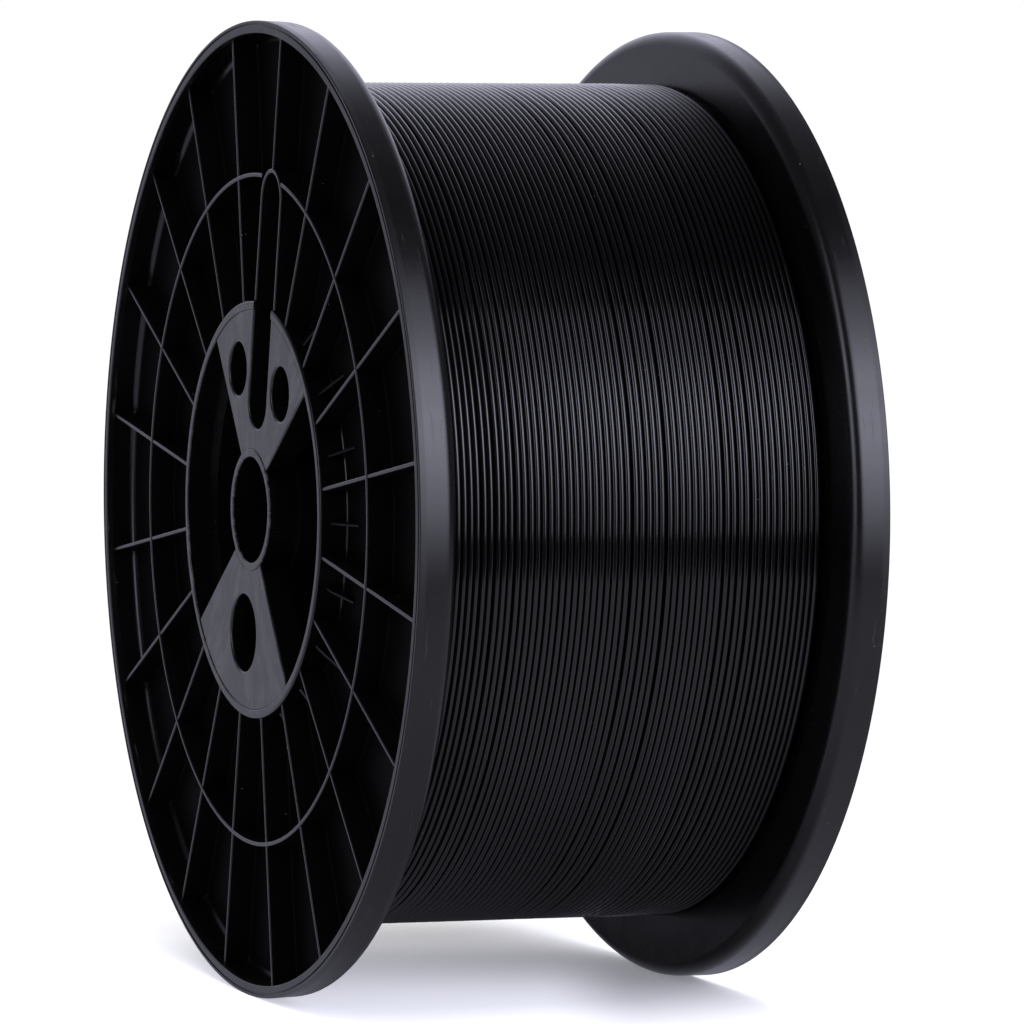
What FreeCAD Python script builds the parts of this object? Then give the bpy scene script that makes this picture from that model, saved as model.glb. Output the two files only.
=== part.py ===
import FreeCAD, Part
import math
import os

# Large filament spool: two ribbed flanges on a hollow barrel, with filament wound between them.
# The spool's axis is Y, Z is up, and the origin is the spool's centre. Millimetres.
# Both flanges are the same moulding. The right one is the left one turned half a turn
# about its start-slot line, so the slots and drive holes of the two flanges face each other.

# Driving dimensions
flange_diameter = 275.0
spool_width = 134.0
flange_thickness = 11.0
web_thickness = 2.0
rim_wall = 3.5
barrel_diameter = 118.0
barrel_wall = 3.0
bore_diameter = 30.0
rib_count = 20
rib_thickness = 1.1
filament_diameter = 1.75
winding_left_diameter = 238.4
winding_right_diameter = 242.0
slot_width = 15.0
slot_angle = 10.5        # start slot, in degrees from up towards +X

# Depths below a flange's outer face
face_groove_depth = 0.4
hub_face_depth = 0.9
panel_face_depth = 1.1
mid_ring_depth = 1.3
rib_depth = 1.5
web_depth = flange_thickness - web_thickness

# Radii
flange_radius = flange_diameter / 2
rim_inner_radius = flange_radius - rim_wall
face_groove_radius = flange_radius - 1.5
face_groove_width = 0.6
hub_radius = barrel_diameter / 2
hub_ring_wall = 2.5
mid_ring_radius = 95.0
mid_ring_wall = 1.2
bore_radius = bore_diameter / 2
boss_radius = 17.2
rim_corner = 3.7
rim_draft = 0.25
rim_foot = 2.0
hub_foot = 0.8
edge_round = 0.4

# Start slot: a round inner end, parallel walls and a half-round outer end
slot_inner_centre = 31.0
slot_outer_centre = 88.5
slot_wall = 1.2

# Hub panels and the drive holes through them
panel_thickness = 2.5
panel_side_angle = 45.0
panel_side_inset = 1.9
skirt_thickness = 1.8
collar_wall = 1.5
collar_depth = 6.0
small_hole_radius = 7.6
small_hole_distance = 41.3
small_hole_half_angle = 26.4
large_hole_radius = 11.0
large_hole_distance = 35.8

# Gussets stand on the web against the hub ring, one between each pair of ribs
gusset_thickness = 0.9
gusset_height = 5.0
gusset_length = 9.4
gusset_toe = 0.3

# Joint between a flange and the barrel: a spigot with snap hooks in the barrel's windows
spigot_wall = 2.7
spigot_length = 14.0
joint_clearance = 0.3
hook_count = 4
hook_width = 11.0
hook_height = 2.3
hook_length = 3.5
hook_distance = 9.0
hook_root = 0.5
window_margin = 0.75
first_hook_angle = 45.0

# Centre tube between the two bore bosses
boss_length = 14.0
centre_tube_wall = 4.4
centre_tube_start = 9.5
boss_clearance = 0.2

# Winding
winding_clearance = 0.3
winding_lift = 1.4         # the winding is not quite centred on the barrel
anchor_hole_angle = 200.0
anchor_hole_from_middle = 36.0
anchor_hole_radius = 1.4
strand_end_reach = 14.0
strand_end_bend = 4.0

axis_start = FreeCAD.Vector(0, 0, 0)
along_y = FreeCAD.Vector(0, 1, 0)


def revolved(profile):
    """A ring from a closed outline of (radius, depth) points; (point, through, point) is an arc."""
    edges = []
    for piece in profile:
        points = [FreeCAD.Vector(radius, depth, 0) for radius, depth in piece]
        if len(points) == 3:
            edges.append(Part.Arc(*points).toShape())
        else:
            edges.append(Part.makeLine(*points))
    face = Part.Face(Part.Wire(edges))
    return face.revolve(axis_start, along_y, 360)


def outline(points):
    """Straight sides through a closed list of (radius, depth) points."""
    return list(zip(points, points[1:] + points[:1]))


def ring(inner, outer, start, end, round_off=0.0):
    """A plain ring between two radii and two depths, its outward face's edges chamfered."""
    points = [(inner, end), (inner, start + round_off), (inner + round_off, start)]
    points += [(outer - round_off, start), (outer, start + round_off), (outer, end)]
    if round_off == 0:
        points = [(inner, end), (inner, start), (outer, start), (outer, end)]
    return revolved(outline(points))


def turned(shape, degrees):
    """The shape turned about the spool's axis, from up towards +X."""
    copy = shape.copy()
    copy.rotate(axis_start, along_y, degrees)
    return copy


def block(half_width, low, high, start, end):
    """A box across X, from one distance up Z to another, between two depths."""
    return Part.makeBox(2 * half_width, end - start, high - low, FreeCAD.Vector(-half_width, start, low))


def post(radius, distance, start, end):
    """A cylinder along the spool's axis, standing a distance up Z."""
    return Part.makeCylinder(radius, end - start, FreeCAD.Vector(0, start, distance), along_y)


def slot_tool(margin, start, end):
    """The start slot's space, grown by a margin: two round ends and the stretch between."""
    half = slot_width / 2 + margin
    middle = block(half, slot_inner_centre, slot_outer_centre, start, end)
    ends = [post(half, centre, start, end) for centre in (slot_inner_centre, slot_outer_centre)]
    return middle.fuse(ends).removeSplitter()


def prism(points, half_width):
    """A flat wall standing in the Y-Z plane: (depth, distance up Z) corners, thickened across X."""
    corners = [FreeCAD.Vector(-half_width, depth, distance) for depth, distance in points]
    face = Part.Face(Part.makePolygon(corners + corners[:1]))
    return face.extrude(FreeCAD.Vector(2 * half_width, 0, 0))


def make_rim():
    """The rim: a flush face with a fine groove, the outer band and the rounded corner to the web."""
    corner_start = flange_thickness - rim_corner
    band_end = flange_radius - rim_draft
    corner_centre = band_end - rim_corner
    half_turn = rim_corner * math.cos(math.radians(45))
    corner = ((band_end, corner_start), (corner_centre + half_turn, corner_start + half_turn),
              (corner_centre, flange_thickness))
    foot_centre = (rim_inner_radius - rim_foot, web_depth - rim_foot)
    foot_half = rim_foot * math.cos(math.radians(45))
    foot = ((foot_centre[0], web_depth), (foot_centre[0] + foot_half, foot_centre[1] + foot_half),
            (rim_inner_radius, foot_centre[1]))
    groove_end = face_groove_radius + face_groove_width
    points = [(rim_inner_radius, foot_centre[1]), (rim_inner_radius, edge_round),
              (rim_inner_radius + edge_round, 0), (face_groove_radius, 0),
              (face_groove_radius, face_groove_depth), (groove_end, face_groove_depth), (groove_end, 0),
              (flange_radius - edge_round, 0), (flange_radius, edge_round), (band_end, corner_start)]
    sides = list(zip(points, points[1:]))
    base = [((corner_centre, flange_thickness), (foot_centre[0], flange_thickness)),
            ((foot_centre[0], flange_thickness), (foot_centre[0], web_depth))]
    return revolved(sides + [corner] + base + [foot])


def make_web():
    """The flat web between the hub ring and the rim, open along the start slot.

    The bridge beyond the slot's outer end is a solid of its own, so that each solid is simple.
    """
    web = ring(hub_radius + hub_foot, rim_inner_radius - rim_foot, web_depth, flange_thickness)
    strip = block(slot_width / 2, 0, flange_diameter, 0, flange_thickness + 1)
    bridge = web.common(strip).cut(slot_tool(0, 0, flange_thickness + 1))
    return Part.makeCompound([web.cut(strip), bridge])


def make_mid_ring():
    """The thin ring between hub and rim, interrupted by the start slot's walls."""
    inner = mid_ring_radius - mid_ring_wall
    mid_ring = ring(inner, mid_ring_radius, mid_ring_depth, web_depth, edge_round)
    return mid_ring.cut(slot_tool(slot_wall, 0, flange_thickness))


def make_slot_walls():
    """The wall round the start slot outside the hub ring, closed by a half-round end."""
    walls = slot_tool(slot_wall, rib_depth, web_depth).cut(slot_tool(0, 0, flange_thickness))
    return walls.cut(post(hub_radius + hub_foot, 0, 0, flange_thickness))


def make_hub_ring():
    """The hub ring, its ledge, the spigot inside the barrel and the snap hooks on the spigot."""
    inner = hub_radius - hub_ring_wall
    spigot_outer = hub_radius - barrel_wall - joint_clearance
    spigot_inner = spigot_outer - spigot_wall
    spigot_end = flange_thickness + spigot_length
    top = hub_face_depth
    points = [(inner, top + edge_round), (inner + edge_round, top), (hub_radius - 2 * edge_round, top),
              (hub_radius, top + 2 * edge_round), (hub_radius, web_depth - hub_foot),
              (hub_radius + hub_foot, web_depth), (hub_radius + hub_foot, flange_thickness),
              (spigot_outer, flange_thickness), (spigot_outer, spigot_end), (spigot_inner, spigot_end),
              (spigot_inner, web_depth), (inner, web_depth)]
    hub_ring = revolved(outline(points)).cut(slot_tool(0, 0, flange_thickness))
    start = flange_thickness + hook_distance
    end = start + hook_length
    root = spigot_outer - hook_root
    corners = [(start, root), (start, spigot_outer + hook_height), (end, spigot_outer), (end, root)]
    hook = prism(corners, hook_width / 2)
    hooks = [turned(hook, first_hook_angle + turn * 360 / hook_count) for turn in range(hook_count)]
    return hub_ring.fuse(hooks).removeSplitter()


def make_ribs():
    """Radial ribs, from the hub ring to the mid ring and on to the rim. All are separate walls."""
    half = rib_thickness / 2
    rim_end = math.sqrt(rim_inner_radius ** 2 - half ** 2)
    ring_inner = math.sqrt((mid_ring_radius - mid_ring_wall) ** 2 - half ** 2)
    arch_end = slot_outer_centre + slot_width / 2 + slot_wall
    foot_end = rim_end - rim_foot
    ribs = []
    for number in range(rib_count):
        start = arch_end if number == 0 else mid_ring_radius
        corners = [(web_depth, start), (rib_depth, start), (rib_depth, rim_end),
                   (web_depth - rim_foot, rim_end), (web_depth, foot_end)]
        ribs.append(turned(prism(corners, half), number * 360 / rib_count))
        if number != 0:
            corners = [(web_depth, hub_radius + hub_foot), (web_depth - hub_foot, hub_radius),
                       (rib_depth, hub_radius), (rib_depth, ring_inner), (web_depth, ring_inner)]
            ribs.append(turned(prism(corners, half), number * 360 / rib_count))
    return Part.makeCompound(ribs)


def make_gussets():
    """Small triangular walls on the web against the hub ring, none beside the start slot."""
    half = gusset_thickness / 2
    corners = [(web_depth, hub_radius + hub_foot), (web_depth - hub_foot, hub_radius),
               (web_depth - gusset_height, hub_radius), (web_depth - gusset_toe, hub_radius + gusset_length),
               (web_depth, hub_radius + gusset_length)]
    spacing = 360 / rib_count
    gusset = prism(corners, half)
    gussets = [turned(gusset, (number + 0.5) * spacing) for number in range(1, rib_count - 1)]
    return Part.makeCompound(gussets)


def panel_sector(start, end, inset=0.0):
    """A sector between the bore boss and the hub ring, its two straight sides moved in by inset."""
    sector = post(hub_radius - hub_ring_wall, 0, start, end).cut(post(boss_radius, 0, start, end))
    reach = 2 * hub_radius
    corner = FreeCAD.Vector(-reach, start, -reach)
    side = Part.makeBox(reach - panel_side_inset - inset, end - start, 2 * reach, corner)
    opposite = side.mirror(axis_start, FreeCAD.Vector(1, 0, 0))
    return sector.common(turned(side, panel_side_angle)).common(turned(opposite, -panel_side_angle))


def make_panel(holes, slotted):
    """One hub panel: a plate with turned-down straight sides and a collar round each hole."""
    under = panel_face_depth + panel_thickness
    plate = panel_sector(panel_face_depth, under)
    skirts = panel_sector(panel_face_depth, web_depth)
    skirts = skirts.cut(panel_sector(0, flange_thickness, skirt_thickness))
    collars = []
    openings = []
    for radius, distance, degrees in holes:
        collars.append(turned(post(radius + collar_wall, distance, panel_face_depth, collar_depth), degrees))
        openings.append(turned(post(radius, distance, 0, flange_thickness), degrees))
    panel = plate.fuse([skirts] + collars)
    if slotted:
        slot_skirt = slot_tool(slot_wall, panel_face_depth, web_depth).common(panel_sector(0, web_depth))
        panel = panel.fuse(slot_skirt)
        openings.append(slot_tool(0, 0, flange_thickness))
    return panel.cut(openings).removeSplitter()


def make_bore_boss():
    """The short tube round the bore."""
    return ring(bore_radius, boss_radius, hub_face_depth, boss_length, edge_round)


def make_barrel():
    """The hollow barrel between the flanges, with a window for each snap hook."""
    half_length = spool_width / 2 - flange_thickness
    barrel = ring(hub_radius - barrel_wall, hub_radius, -half_length, half_length)
    half_width = hook_width / 2 + window_margin
    near = half_length - hook_distance - hook_length - window_margin
    far = half_length - hook_distance + window_margin
    for turn in range(hook_count):
        for start, end in ((near, far), (-far, -near)):
            window = block(half_width, hub_radius / 2, hub_radius + 1, start, end)
            barrel = barrel.cut(turned(window, slot_angle + first_hook_angle + turn * 360 / hook_count))
    inside = FreeCAD.Vector(0, -anchor_hole_from_middle, hub_radius - 2 * barrel_wall)
    anchor = Part.makeCylinder(anchor_hole_radius, 3 * barrel_wall, inside, FreeCAD.Vector(0, 0, 1))
    return barrel.cut(turned(anchor, anchor_hole_angle))


def make_centre_tube():
    """The tube that joins the two bore bosses, with a socket for a boss at each end."""
    end = spool_width / 2 - centre_tube_start
    socket_radius = boss_radius + boss_clearance
    socket_floor = spool_width / 2 - boss_length - boss_clearance
    points = [(bore_radius, -socket_floor), (socket_radius, -socket_floor), (socket_radius, -end),
              (bore_radius + centre_tube_wall, -end), (bore_radius + centre_tube_wall, end),
              (socket_radius, end), (socket_radius, socket_floor), (bore_radius, socket_floor)]
    return revolved(outline(points))


def winding_body(depth):
    """The space inside the winding's outside, taken in by a depth: slightly conical and raised."""
    half_length = spool_width / 2 - flange_thickness - winding_clearance
    left_end = FreeCAD.Vector(0, -half_length, winding_lift)
    left_radius = winding_left_diameter / 2 - depth
    right_radius = winding_right_diameter / 2 - depth
    return Part.makeCone(left_radius, right_radius, 2 * half_length, left_end, along_y)


def make_strand_end():
    """The strand's first end, pushed through the barrel's anchor hole and bent over inside."""
    radius = filament_diameter / 2
    top = FreeCAD.Vector(0, 0, hub_radius)
    bend_start = FreeCAD.Vector(0, 0, hub_radius - strand_end_reach + strand_end_bend)
    half = strand_end_bend * (1 - math.cos(math.radians(45)))
    bend_middle = FreeCAD.Vector(0, half, hub_radius - strand_end_reach + half)
    bend_end = FreeCAD.Vector(0, strand_end_bend, hub_radius - strand_end_reach)
    tip = bend_end + FreeCAD.Vector(0, strand_end_reach, 0)
    path = Part.Wire([Part.makeLine(top, bend_start), Part.Arc(bend_start, bend_middle, bend_end).toShape(),
                      Part.makeLine(bend_end, tip)])
    section = Part.Wire([Part.makeCircle(radius, top, FreeCAD.Vector(0, 0, 1))])
    strand = path.makePipeShell([section], True, True)
    strand.translate(FreeCAD.Vector(0, -anchor_hole_from_middle, 0))
    return turned(strand, anchor_hole_angle)


def place_left(shape):
    """A flange piece, its start slot turned into place, with its outer face at the left."""
    placed = turned(shape, slot_angle)
    placed.translate(FreeCAD.Vector(0, -spool_width / 2, 0))
    return placed


def place_right(shape):
    """The left flange's piece turned half a turn about the start slot's line."""
    placed = place_left(shape)
    slot_line = FreeCAD.Vector(math.sin(math.radians(slot_angle)), 0, math.cos(math.radians(slot_angle)))
    placed.rotate(axis_start, slot_line, 180)
    return placed


small_holes = [(small_hole_radius, small_hole_distance, side * small_hole_half_angle) for side in (-1, 1)]
large_hole = [(large_hole_radius, large_hole_distance, 0)]

flange_pieces = {
    "rim": make_rim(),
    "web": make_web(),
    "mid_ring": make_mid_ring(),
    "slot_walls": make_slot_walls(),
    "hub_ring": make_hub_ring(),
    "ribs": make_ribs(),
    "gussets": make_gussets(),
    "slotted_hub_panel": make_panel(small_holes, True),
    "plain_hub_panel": turned(make_panel(large_hole, False), 180),
    "bore_boss": make_bore_boss(),
}

nodes = {}
for name, piece in flange_pieces.items():
    nodes["left_" + name] = place_left(piece)
    nodes["right_" + name] = place_right(piece)

inner_layers = winding_body(filament_diameter)
over_barrel = post(hub_radius + joint_clearance, 0, -spool_width / 2, spool_width / 2)
nodes["barrel"] = make_barrel()
nodes["centre_tube"] = make_centre_tube()
nodes["filament_inner_layers"] = inner_layers.cut(over_barrel)
nodes["filament_outer_layer"] = winding_body(0).cut(inner_layers)
nodes["filament_first_end"] = make_strand_end()

os.makedirs("parts", exist_ok=True)
for name, shape in nodes.items():
    shape.exportStep("parts/" + name + ".step")
    state = "valid" if shape.isValid() else "not valid"
    print(name, len(shape.Solids), "solids", round(shape.Volume), "mm3", state)
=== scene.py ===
import math
import random

import bmesh
import bpy
from mathutils import Matrix, Vector
from mathutils.geometry import tessellate_polygon


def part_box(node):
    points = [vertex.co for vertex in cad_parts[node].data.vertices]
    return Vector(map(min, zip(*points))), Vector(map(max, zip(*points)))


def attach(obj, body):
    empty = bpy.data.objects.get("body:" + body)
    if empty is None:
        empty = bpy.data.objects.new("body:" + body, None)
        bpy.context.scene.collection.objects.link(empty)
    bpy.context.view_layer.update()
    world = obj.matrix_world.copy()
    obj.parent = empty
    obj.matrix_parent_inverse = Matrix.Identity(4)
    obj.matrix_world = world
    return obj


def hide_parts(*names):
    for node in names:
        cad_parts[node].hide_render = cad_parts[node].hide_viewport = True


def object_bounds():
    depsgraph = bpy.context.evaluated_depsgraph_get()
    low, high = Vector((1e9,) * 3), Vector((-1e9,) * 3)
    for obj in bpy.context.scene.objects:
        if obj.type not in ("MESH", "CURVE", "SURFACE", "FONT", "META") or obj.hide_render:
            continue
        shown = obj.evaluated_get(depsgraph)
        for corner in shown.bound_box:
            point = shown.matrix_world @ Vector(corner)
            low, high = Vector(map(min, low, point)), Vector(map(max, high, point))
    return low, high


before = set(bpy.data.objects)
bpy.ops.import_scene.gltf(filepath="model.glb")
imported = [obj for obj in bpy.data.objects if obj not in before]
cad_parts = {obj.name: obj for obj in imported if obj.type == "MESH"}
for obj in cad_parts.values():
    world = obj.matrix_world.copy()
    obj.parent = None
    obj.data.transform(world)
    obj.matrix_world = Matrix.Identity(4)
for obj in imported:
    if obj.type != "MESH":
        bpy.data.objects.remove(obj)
cad_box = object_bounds()

# Large filament spool: two ribbed flanges on a hollow barrel, wound with black filament.
# A flange is worked out flat: across, depth below its outer face, and up along its start slot.
# It is then put in place at the left or the right. All sizes are in metres.
mm = 0.001

# Sizes taken from the frame
rim_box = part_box("left_rim")
outer_layer_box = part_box("filament_outer_layer")
flange_radius = min(rim_box[1].x - rim_box[0].x, rim_box[1].z - rim_box[0].z) / 2
spool_width = cad_box[1].y - cad_box[0].y
flange_thickness = rim_box[1].y - rim_box[0].y
winding_end_radius = outer_layer_box[1].x
winding_half_length = outer_layer_box[1].y
winding_lift = (outer_layer_box[0].z + outer_layer_box[1].z) / 2
floor_height = cad_box[0].z

# Flange
slot_turn = math.radians(10.5)
rib_count = 20
rib_spacing = 2 * math.pi / rib_count
rib_thickness = 1.1 * mm
web_depth = flange_thickness - 2 * mm
rim_inner_radius = flange_radius - 3.5 * mm
groove_radius = flange_radius - 1.5 * mm
groove_width = 0.6 * mm
groove_depth = 0.4 * mm
rim_corner = 3.7 * mm
rim_draft = 0.25 * mm
rim_foot = 2 * mm
rim_face_edge = 0.3 * mm
groove_edge = 0.1 * mm
hub_radius = 59 * mm
hub_ring_edge = 0.6 * mm
hub_foot = 0.8 * mm
hub_inner_radius = 56.5 * mm
hub_face_depth = 0.9 * mm
panel_face_depth = 1.1 * mm
panel_thickness = 2.5 * mm
mid_ring_depth = 1.3 * mm
mid_ring_outer = 95 * mm
mid_ring_inner = 93.8 * mm
rib_depth = 1.5 * mm
ledge_radius = 59.8 * mm
spigot_outer = 55.7 * mm
spigot_inner = 53 * mm
spigot_end = 25 * mm
hook_count = 4
hook_half_width = 5.5 * mm
hook_start = 20 * mm
hook_end = 23.5 * mm
hook_height = 2.3 * mm
bore_radius = 15 * mm
boss_radius = 17.2 * mm
boss_end = 14 * mm
slot_half = 7.5 * mm
slot_wall = 1.2 * mm
slot_inner_centre = 31 * mm
slot_outer_centre = 88.5 * mm
panel_half_angle = math.radians(45)
panel_inset = 1.9 * mm
skirt = 1.8 * mm
collar_wall = 1.5 * mm
collar_depth = 6 * mm
panel_edge = 0.55 * mm
hole_edge = 0.7 * mm
small_hole = (7.6 * mm, 41.3 * mm, math.radians(26.4))
large_hole = (11 * mm, 35.8 * mm, 0.0)
gusset_thickness = 0.9 * mm
gusset_height = 5 * mm
gusset_length = 9.4 * mm
gusset_tip = 0.5 * mm

# Edges and joins
edge = 0.35 * mm
foot = 0.6 * mm
toe = 1.2 * foot
weld = 0.15 * mm
sunk = 0.02 * mm
support = 0.12 * mm
turn_steps = 288

# Filament
strand_radius = 0.875 * mm
strand_sides = 10
strand_steps = 128
winding_taper = 1.8 * mm / (2 * winding_half_length)
tight_pitch = 2.045 * strand_radius
loose_room = 2.6 * mm
wander = 0.4 * mm
small_gap = 0.25
small_gap_share = 0.3
# The loose places: how far along the winding, how many gaps, and how wide they are
loose_zones = ((0.155, 3, 0.5), (0.55, 3, 1.0), (0.80, 4, 0.8))
layer_ridge = ((0.0, 0.0), (0.2, 0.62), (0.5, 1.0), (0.8, 0.62))
ridge_height = 0.9 * strand_radius

# Studio: ways across the floor towards the camera and to its side, tints and the upright panels
towards_camera = (0.931, -0.366, 0)
beside_camera = (0.366, 0.931, 0)
light_tint = (0.94, 0.945, 1.16)
painted_light_tint = (0.96, 0.965, 1.08)
white_level = 1.05
panel_distance = 2.2
panel_foot = -0.25
panel_top = 2.62
dim_below = -0.45
hot_height = 0.85
cool_above = 1.9
lamp_size = 1.4
lamp_place = (0.43, -0.17, 1.3)
lamp_power = 21


def rounded(corners, closed=True, steps=4):
    """Points along an outline of (u, v, radius) corners, with an arc in place of each rounded corner."""
    made = []
    last = len(corners) - 1
    for number, (u, v, radius) in enumerate(corners):
        here = Vector((u, v))
        if radius == 0 or (not closed and number in (0, last)):
            made.append(here)
            continue
        before = Vector(corners[number - 1][:2]) - here
        after = Vector(corners[(number + 1) % len(corners)][:2]) - here
        room = min(before.length, after.length)
        before.normalize()
        after.normalize()
        half = before.angle(after) / 2
        reach = radius / math.tan(half)
        centre = here + (before + after).normalized() * radius / math.sin(half)
        start = here + before * reach - centre
        turn = (here + after * reach - centre).angle_signed(start)
        margin = min(support, 0.3 * radius, max(0.0, 0.4 * (room - reach)))
        made.append(here + before * (reach + margin))
        for step in range(steps + 1):
            made.append(centre + Matrix.Rotation(turn * step / steps, 2) @ start)
        made.append(here + after * (reach + margin))
    return made


def arc(radius, first, last, steps, centre=0.0):
    """Corners along an arc about a point a distance up the slot line; angles run from up to across."""
    turns = [first + (last - first) * step / steps for step in range(steps + 1)]
    return [(radius * math.sin(a), centre + radius * math.cos(a), 0) for a in turns]


def offset(path, distance, closed=True):
    """The path moved sideways: to the left of its travel by a positive distance."""
    moved = []
    for number, here in enumerate(path):
        before = path[number - 1] if closed or number > 0 else None
        after = path[(number + 1) % len(path)] if closed or number < len(path) - 1 else None
        sides = []
        for start, end in ((before, here), (here, after)):
            if start is not None and end is not None:
                along = (end - start).normalized()
                sides.append(Vector((-along.y, along.x)))
        normal = sum(sides, Vector((0, 0))).normalized()
        moved.append(here + normal * distance / max(0.3, normal.dot(sides[0])))
    return moved


def anticlockwise(path):
    area = sum(a.x * b.y - a.y * b.x for a, b in zip(path, path[1:] + path[:1]))
    return path if area > 0 else path[::-1]


class Skin:
    """The points and faces of a piece, gathered before its mesh is made."""

    def __init__(self):
        self.points = []
        self.faces = []

    def rows(self, rows, around=True, along=True):
        """Faces between neighbouring rows. around closes each row, along joins the last to the first."""
        base = len(self.points)
        width = len(rows[0])
        for row in rows:
            self.points.extend(row)
        for i in range(len(rows) if along else len(rows) - 1):
            j = (i + 1) % len(rows)
            for k in range(width if around else width - 1):
                m = (k + 1) % width
                corners = (i * width + k, i * width + m, j * width + m, j * width + k)
                self.faces.append(tuple(base + corner for corner in corners))

    def cap(self, loops):
        """A flat face inside the first loop, with the others as holes."""
        base = len(self.points)
        for loop in loops:
            self.points.extend(loop)
        for triangle in tessellate_polygon(loops):
            self.faces.append(tuple(base + corner for corner in triangle))

    def lathe(self, profile, opening=0.0, steps=turn_steps):
        """A closed outline of (radius, depth) turned about the axis, with a straight gap at the slot."""
        rows = []
        for radius, depth in profile:
            start = math.asin(opening / radius)
            span = 2 * math.pi - 2 * start
            count = steps + 1 if opening else steps
            turns = [start + span * step / steps for step in range(count)]
            rows.append([Vector((radius * math.sin(a), depth, radius * math.cos(a))) for a in turns])
        self.rows(rows, around=not opening)
        if opening:
            self.cap([[row[0] for row in rows]])
            self.cap([[row[-1] for row in rows]])

    def sweep(self, path, section, closed=True):
        """A closed outline of (sideways, depth) carried along a path in the flange's plane."""
        rows = []
        for sideways, depth in section:
            moved = offset(path, sideways, closed)
            rows.append([Vector((p.x, depth, p.y)) for p in moved])
        self.rows(rows, around=closed)
        if not closed:
            self.cap([[row[0] for row in rows]])
            self.cap([[row[-1] for row in rows]])

    def plate(self, outer, holes, outer_section, hole_section):
        """A plate with holes. Each edge is an open section of (inwards, depth), from top to underside."""
        loops = [(anticlockwise(outer), outer_section)]
        loops += [(anticlockwise(hole)[::-1], hole_section) for hole in holes]
        tops = []
        unders = []
        for path, section in loops:
            rows = []
            for inwards, depth in section:
                rows.append([Vector((p.x, depth, p.y)) for p in offset(path, inwards)])
            self.rows(rows, along=False)
            tops.append(rows[0])
            unders.append(rows[-1])
        self.cap(tops)
        self.cap(unders)

    def mesh(self, name):
        """The finished mesh: joined up, facing outwards, smooth except at real corners."""
        made = bpy.data.meshes.new(name)
        made.from_pydata(self.points, [], self.faces)
        return tidy_mesh(made)


def tidy_mesh(made, crease=math.radians(40)):
    """Joins doubled points, turns the faces outwards and marks the real corners."""
    work = bmesh.new()
    work.from_mesh(made)
    bmesh.ops.remove_doubles(work, verts=work.verts, dist=1e-6)
    bmesh.ops.dissolve_degenerate(work, edges=work.edges, dist=1e-7)
    bmesh.ops.recalc_face_normals(work, faces=work.faces)
    if work.calc_volume(signed=True) < 0:
        bmesh.ops.reverse_faces(work, faces=work.faces)
    for face in work.faces:
        face.smooth = True
    for line in work.edges:
        line.smooth = len(line.link_faces) == 2 and line.calc_face_angle(0) < crease
    work.to_mesh(made)
    work.free()
    return made


class Value:
    """A socket's value that takes part in arithmetic, adding the maths nodes as it goes."""

    def __init__(self, tree, socket):
        self.tree = tree
        self.socket = socket

    def maths(self, operation, *values):
        return self.tree.node("ShaderNodeMath", {"operation": operation}, dict(enumerate(values)))

    def __add__(self, other):
        return self.maths("ADD", self, other)

    def __radd__(self, other):
        return self.maths("ADD", other, self)

    def __sub__(self, other):
        return self.maths("SUBTRACT", self, other)

    def __rsub__(self, other):
        return self.maths("SUBTRACT", other, self)

    def __mul__(self, other):
        return self.maths("MULTIPLY", self, other)

    def __rmul__(self, other):
        return self.maths("MULTIPLY", other, self)

    def __truediv__(self, other):
        return self.maths("DIVIDE", self, other)

    def part(self, name):
        """Another output of the same node."""
        return Value(self.tree, self.socket.node.outputs[name])


class Tree:
    """A node tree and the one way nodes are added to it."""

    def __init__(self, nodes):
        self.nodes = nodes

    def node(self, kind, settings={}, inputs={}, output=0):
        made = self.nodes.nodes.new(kind)
        for name, value in settings.items():
            setattr(made, name, value)
        for name, value in inputs.items():
            socket = made.inputs[name]
            if isinstance(value, Value):
                self.nodes.links.new(value.socket, socket)
            else:
                socket.default_value = value
        return Value(self, made.outputs[output]) if made.outputs else made

    def smooth(self, value, low, high, first=0.0, last=1.0):
        """first below low, last above high, and a smooth change between."""
        numbers = {"Value": value, "From Min": low, "From Max": high, "To Min": first, "To Max": last}
        return self.node("ShaderNodeMapRange", {"interpolation_type": "SMOOTHSTEP"}, numbers)

    def vector(self, operation, *values, output=0):
        return self.node("ShaderNodeVectorMath", {"operation": operation}, dict(enumerate(values)), output)

    def noise(self, vector, scale, detail=2.0, roughness=0.5):
        numbers = {"Vector": vector, "Scale": scale, "Detail": detail, "Roughness": roughness}
        return self.node("ShaderNodeTexNoise", {}, numbers)

    def mix(self, factor, first, second):
        """A colour between two colours."""
        inputs = {0: factor, 6: first, 7: second}
        return self.node("ShaderNodeMix", {"data_type": "RGBA"}, inputs, 2)


def grey(shade, tint=(1.0, 1.0, 1.0)):
    return (shade * tint[0], shade * tint[1], shade * tint[2], 1)


def new_finish(name):
    finish = bpy.data.materials.new(name)
    finish.use_nodes = True
    finish.node_tree.nodes.clear()
    return finish, Tree(finish.node_tree)


def plastic(tree, colour, roughness, height, bump_distance, ior=1.5):
    """A plastic surface whose colour, roughness and relief change over it."""
    bump = tree.node("ShaderNodeBump", {}, {"Strength": 1.0, "Distance": bump_distance, "Height": height})
    inputs = {"Base Color": colour, "Roughness": roughness, "IOR": ior, "Normal": bump}
    return tree.node("ShaderNodeBsdfPrincipled", {}, inputs)


def ended(tree, surface):
    tree.node("ShaderNodeOutputMaterial", {}, {"Surface": surface})


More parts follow.
